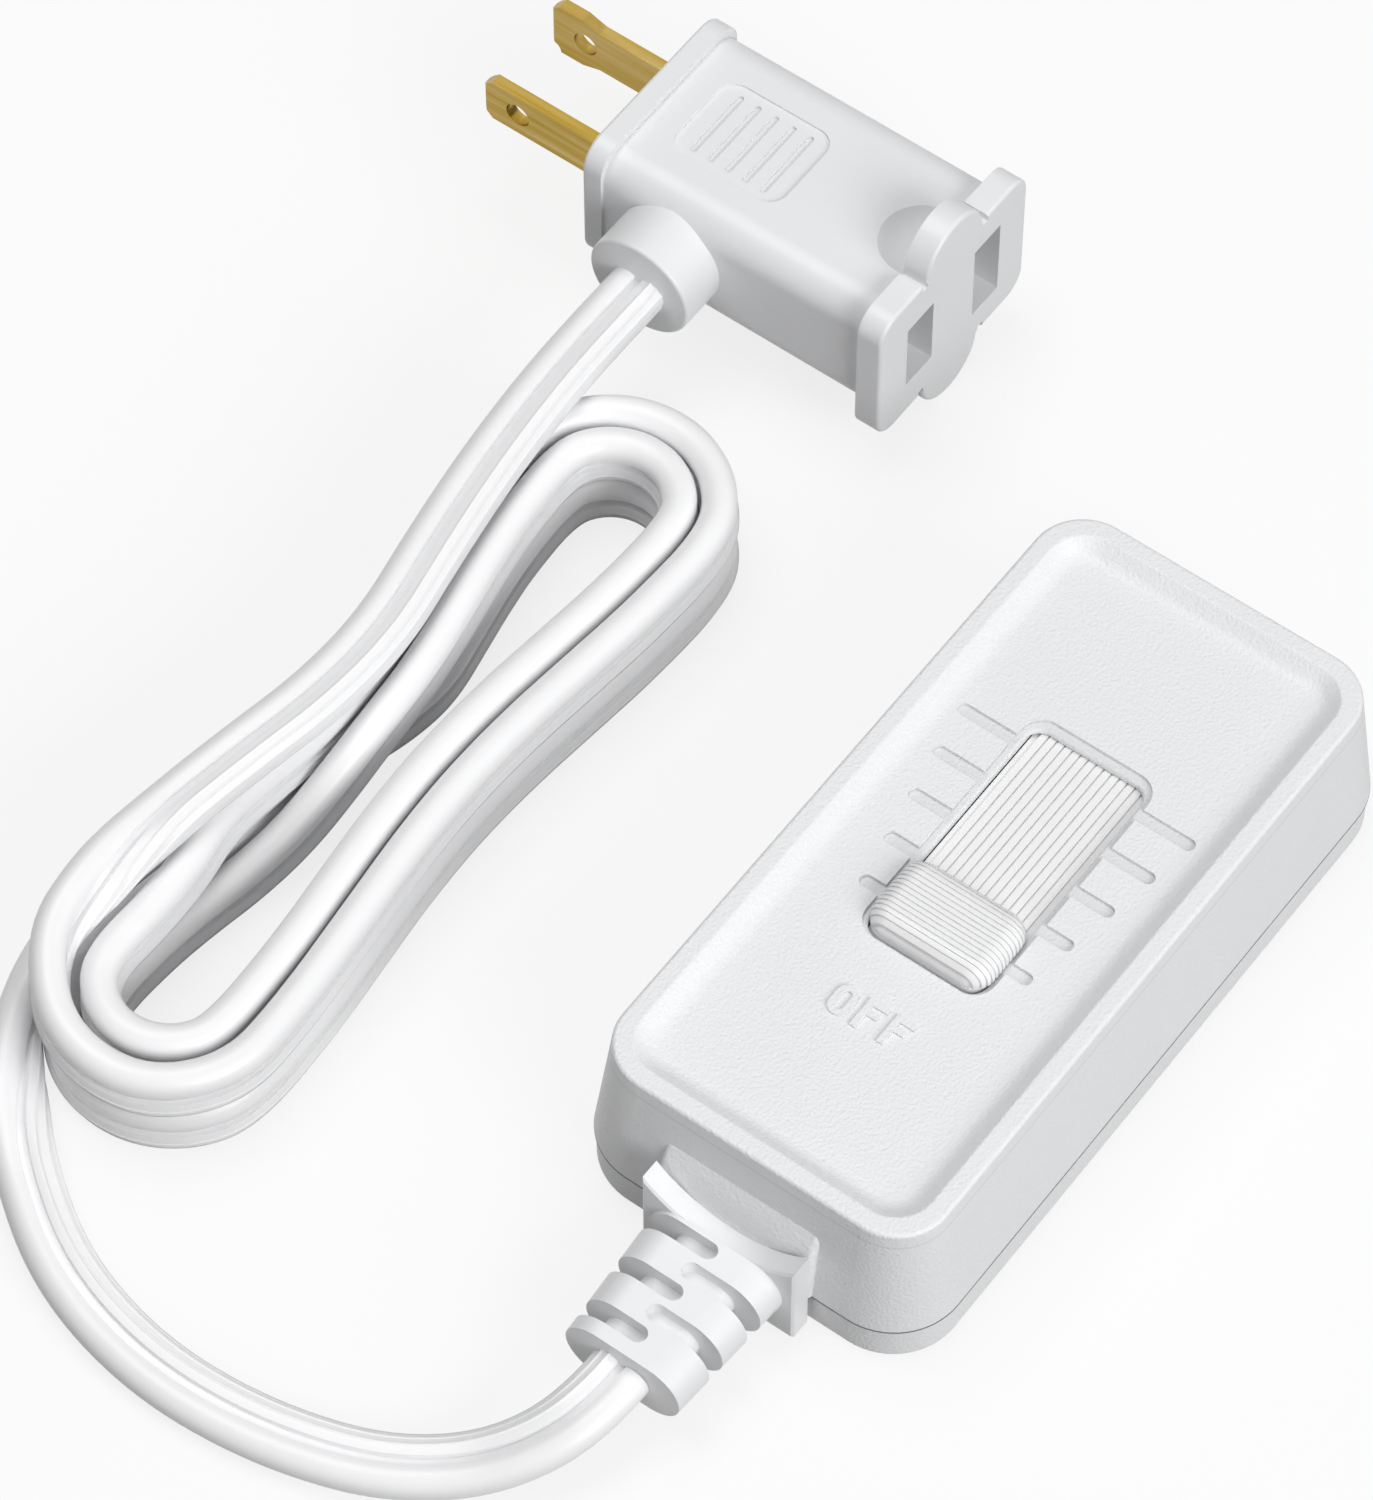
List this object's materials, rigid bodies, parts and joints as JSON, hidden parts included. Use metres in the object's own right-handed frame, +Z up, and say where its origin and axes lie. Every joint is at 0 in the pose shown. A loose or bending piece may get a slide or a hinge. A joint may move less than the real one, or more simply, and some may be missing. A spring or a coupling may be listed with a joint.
{
  "type": "plug in dimmer",
  "caption": "Flat lamp dimmer with a thumb slider, a flat cord laid in a hank and a through plug with two blades and an outlet in its face.",
  "frame": {"origin": "centre of the control box's footprint, on the surface it rests on", "axes": "+X along the box, away from its cord; +Z up out of the slider face; +Y towards the plug and hank"},
  "size_m": [0.1679, 0.1303, 0.03],
  "materials": {
    "case_plastic": "fine matte grain",
    "slider_plastic": "satin",
    "cord_plastic": "satin flexible",
    "plug_plastic": "satin moulded",
    "brass": "polished",
    "screw_steel": "zinc plated",
    "board_laminate": "laminate",
    "dark_plastic": "moulded",
    "sink_aluminium": "mill",
    "ferrite": "sintered",
    "winding_wire": "enamelled",
    "capacitor_film": "dipped",
    "component_lacquer": "lacquered",
    "wire_insulation": "flexible"
  },
  "bodies": {
    "root": {"top_cover": "case_plastic", "bottom_cover": "case_plastic", "case_screws": "screw_steel", "board_screws": "screw_steel", "track_housing": "dark_plastic", "resistive_strip": "dark_plastic", "switch_block": "dark_plastic", "switch_leaves": "brass", "circuit_board": "board_laminate", "heat_sink": "sink_aluminium", "triac_body": "dark_plastic", "triac_leadframe": "screw_steel", "choke_core": "ferrite", "choke_winding": "winding_wire", "film_capacitor": "capacitor_film", "timing_capacitor": "capacitor_film", "resistors": "component_lacquer", "diac": "component_lacquer", "line_terminals": "brass", "inner_wires": "wire_insulation", "strain_relief": "cord_plastic", "cord_hank": "cord_plastic", "cord_lead_dimmer": "cord_plastic", "cord_lead_plug": "cord_plastic", "plug_body": "plug_plastic", "line_blade": "brass", "neutral_blade": "brass", "line_contact": "brass", "neutral_contact": "brass", "plug_wires": "wire_insulation"},
    "slider": {"slider_knob": "slider_plastic", "dust_shield": "slider_plastic", "slider_carriage": "slider_plastic", "wiper_spring": "brass"}
  },
  "joints": [
    {"name": "dim_slide", "type": "slide", "parent": "root", "child": "slider", "axis": [1, 0, 0], "range_m": [0, 0.0212]}
  ]
}
